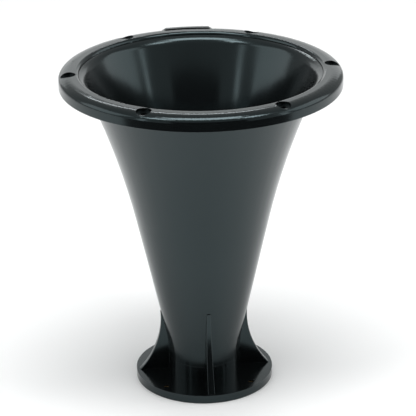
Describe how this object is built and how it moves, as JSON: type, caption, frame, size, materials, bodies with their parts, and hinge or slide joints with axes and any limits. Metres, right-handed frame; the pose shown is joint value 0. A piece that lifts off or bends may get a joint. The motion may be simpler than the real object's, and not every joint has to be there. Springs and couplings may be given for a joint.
{
  "type": "horn flare",
  "caption": "Round conical horn flare with a ringed, screw-on mouth and a gusseted, bolt-on throat flange; open end to end, so it also serves as a light snoot.",
  "frame": {"origin": "centre of the throat face, which the flare stands on", "axes": "+Z along the flare's axis, out of the mouth; +Y towards the locating rib on the mouth ring; +X through one mouth screw hole and one gusset"},
  "size_m": [0.2296, 0.2296, 0.2745],
  "materials": {
    "flare_plastic": "satin moulded black",
    "ring_plastic": "satin moulded black",
    "foot_plastic": "satin moulded black",
    "insert_brass": "turned brass"
  },
  "bodies": {
    "root": {"flare_shell": "flare_plastic", "mouth_ring": "ring_plastic", "throat_flange": "foot_plastic", "throat_inserts": "insert_brass"}
  },
  "joints": []
}
